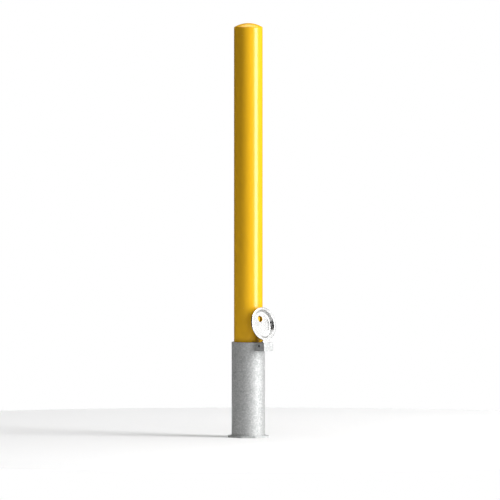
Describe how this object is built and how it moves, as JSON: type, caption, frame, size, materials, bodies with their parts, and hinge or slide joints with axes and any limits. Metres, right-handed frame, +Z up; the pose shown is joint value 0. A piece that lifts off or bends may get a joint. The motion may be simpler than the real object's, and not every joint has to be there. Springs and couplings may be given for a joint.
{
  "type": "removable bollard",
  "caption": "Yellow tubular post with a domed cap, standing in a galvanised ground sleeve whose dished round lid hinges back against it.",
  "frame": {"origin": "on the axis of the post, at the underside of the base plate, in the mouth of the drain hole", "axes": "+Z up along the post, +X from the post towards the hinge of the lid"},
  "size_m": [0.1285, 0.104, 1.1045],
  "materials": {
    "post_paint": "gloss stoved enamel",
    "galvanised_steel": "hot-dip galvanised",
    "lid_steel": "cast stainless, satin polished",
    "pin_steel": "blackened spring steel",
    "guide_plastic": "black polyethylene",
    "bush_plastic": "natural acetal",
    "seal_rubber": "matt rubber"
  },
  "bodies": {
    "ground_sleeve": {"sleeve_tube": "galvanised_steel", "base_plate": "galvanised_steel", "base_weld": "galvanised_steel", "seat_ring": "galvanised_steel", "locating_bar": "galvanised_steel", "lower_guide_ring": "guide_plastic", "upper_guide_ring": "guide_plastic", "hinge_cheek_left": "galvanised_steel", "hinge_cheek_right": "galvanised_steel", "hinge_web": "galvanised_steel", "hinge_floor": "galvanised_steel", "hinge_welds": "galvanised_steel", "hinge_pin": "pin_steel"},
    "lid": {"lid_dish": "lid_steel", "lid_bush_left": "bush_plastic", "lid_bush_right": "bush_plastic", "lid_seal": "seal_rubber"},
    "post": {"post_tube": "post_paint", "post_cap": "post_paint", "cap_weld": "post_paint", "post_foot_ring": "post_paint"}
  },
  "joints": [
    {"name": "lid_hinge", "type": "hinge", "parent": "ground_sleeve", "child": "lid", "pos_m": [0.0574, 0, 0.2457], "axis": [0, 1, 0], "range_deg": [0, 17.5]},
    {"name": "post_lift", "type": "slide", "parent": "ground_sleeve", "child": "post", "axis": [0, 0, 1], "range_m": [0, 0.26]}
  ]
}
